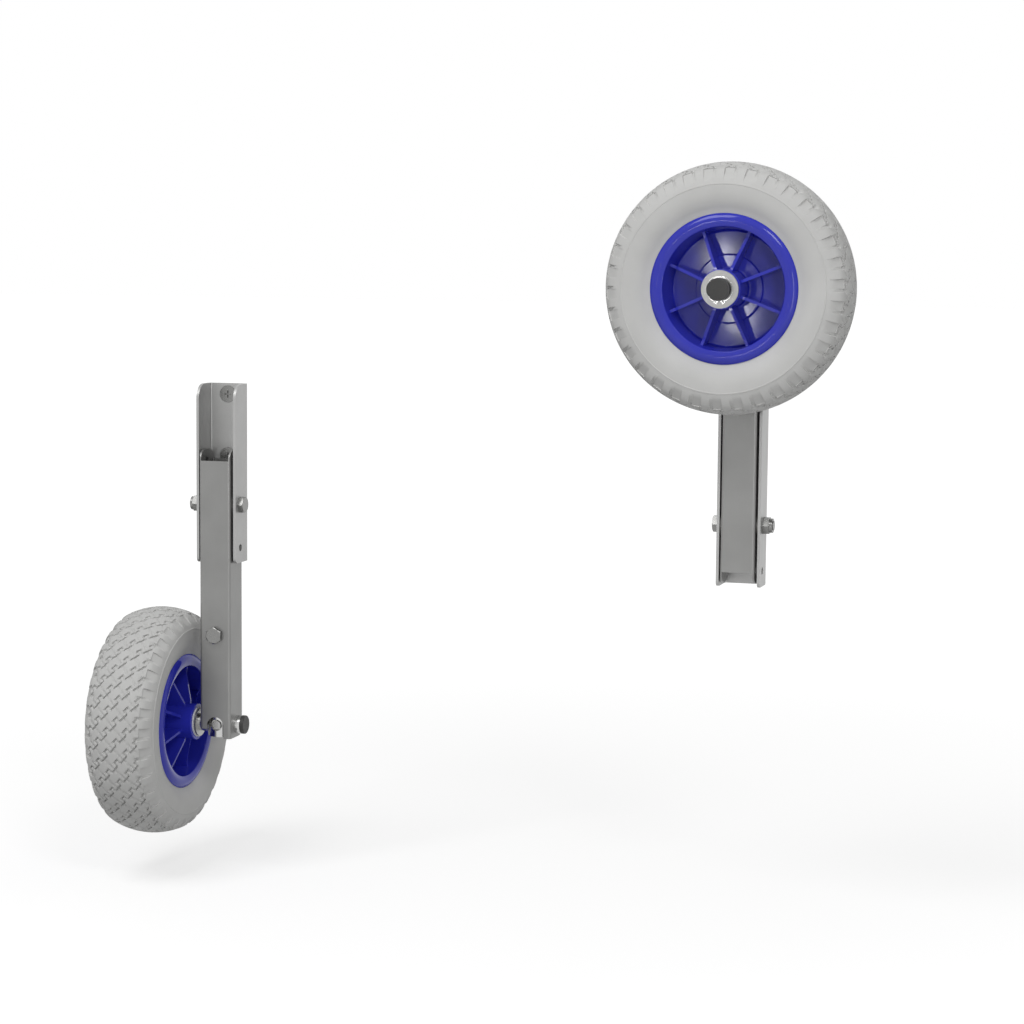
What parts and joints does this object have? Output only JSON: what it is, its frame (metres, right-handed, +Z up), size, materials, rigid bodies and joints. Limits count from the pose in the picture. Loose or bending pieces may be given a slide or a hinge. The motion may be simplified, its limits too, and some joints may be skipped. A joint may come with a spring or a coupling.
{
  "type": "transom launching wheels",
  "caption": "Launching wheels for a small boat: channel brackets, square-tube legs that fold up, swivelling axles and ribbed wheels with treaded tyres.",
  "frame": {"origin": "on the plane of the brackets' backs, midway between the two brackets and level with their middle screws", "axes": "+X to the boat's right as seen from behind it, +Y out of the brackets' backs into the boat, +Z up"},
  "size_m": [0.8723, 0.2723, 0.764],
  "materials": {
    "stainless_sheet": "satin",
    "bright_fastener": "polished",
    "white_nylon": "matte",
    "black_cap": "matte",
    "blue_plastic": "semi-gloss",
    "grey_tyre": "matte"
  },
  "bodies": {
    "brackets": {"bracket_screws": "bright_fastener", "port_bracket": "stainless_sheet", "port_pivot_bolt": "bright_fastener", "port_pivot_nut": "bright_fastener", "port_pivot_spacers": "white_nylon", "starboard_bracket": "stainless_sheet", "starboard_pivot_bolt": "bright_fastener", "starboard_pivot_nut": "bright_fastener", "starboard_pivot_spacers": "white_nylon"},
    "port_leg": {"port_leg": "stainless_sheet", "port_post_bolt": "bright_fastener", "port_post_bolt_boss": "stainless_sheet", "port_upper_bush": "white_nylon", "port_lower_bush": "white_nylon", "port_lock_guide": "bright_fastener"},
    "port_lock": {"port_lock_pin": "bright_fastener", "port_lock_cap": "black_cap"},
    "port_swivel": {"port_swivel_post": "bright_fastener", "port_cross_bolt": "bright_fastener", "port_axle": "bright_fastener", "port_inner_washer": "bright_fastener", "port_outer_washer": "bright_fastener", "port_circlip": "bright_fastener", "port_axle_cap": "black_cap"},
    "port_wheel": {"port_rim": "blue_plastic", "port_rim_ribs": "blue_plastic", "port_hub_bushes": "white_nylon", "port_tyre": "grey_tyre"},
    "starboard_leg": {"starboard_leg": "stainless_sheet", "starboard_post_bolt": "bright_fastener", "starboard_post_bolt_boss": "stainless_sheet", "starboard_upper_bush": "white_nylon", "starboard_lower_bush": "white_nylon", "starboard_lock_guide": "bright_fastener"},
    "starboard_lock": {"starboard_lock_pin": "bright_fastener", "starboard_lock_cap": "black_cap"},
    "starboard_swivel": {"starboard_swivel_post": "bright_fastener", "starboard_cross_bolt": "bright_fastener", "starboard_axle": "bright_fastener", "starboard_inner_washer": "bright_fastener", "starboard_outer_washer": "bright_fastener", "starboard_circlip": "bright_fastener", "starboard_axle_cap": "black_cap"},
    "starboard_wheel": {"starboard_rim": "blue_plastic", "starboard_rim_ribs": "blue_plastic", "starboard_hub_bushes": "white_nylon", "starboard_tyre": "grey_tyre"}
  },
  "joints": [
    {"name": "port_leg_draw", "type": "slide", "parent": "brackets", "child": "port_leg", "axis": [0, 0, -1], "range_m": [0, 0.048]},
    {"name": "port_axle_swivel", "type": "hinge", "parent": "port_leg", "child": "port_swivel", "pos_m": [-0.3, -0.024, -0.305], "axis": [0, 0, 1], "range_deg": [-90, 0]},
    {"name": "port_wheel_spin", "type": "hinge", "parent": "port_swivel", "child": "port_wheel", "pos_m": [-0.3776, -0.024, -0.305], "axis": [1, 0, 0], "continuous": true},
    {"name": "port_lock_pull", "type": "slide", "parent": "port_leg", "child": "port_lock", "axis": [1, 0, 0], "range_m": [0, 0.005], "stiffness_N_per_m": 1500, "springref_m": -0.006},
    {"name": "starboard_leg_draw", "type": "slide", "parent": "brackets", "child": "starboard_leg", "axis": [0, 0, 1], "range_m": [0, 0.048]},
    {"name": "starboard_axle_swivel", "type": "hinge", "parent": "starboard_leg", "child": "starboard_swivel", "pos_m": [0.3, -0.024, 0.199], "axis": [0, 0, 1], "range_deg": [0, 90]},
    {"name": "starboard_wheel_spin", "type": "hinge", "parent": "starboard_swivel", "child": "starboard_wheel", "pos_m": [0.3, -0.1016, 0.199], "axis": [0, 1, 0], "continuous": true},
    {"name": "starboard_lock_pull", "type": "slide", "parent": "starboard_leg", "child": "starboard_lock", "axis": [-1, 0, 0], "range_m": [0, 0.005], "stiffness_N_per_m": 1500, "springref_m": -0.006}
  ]
}
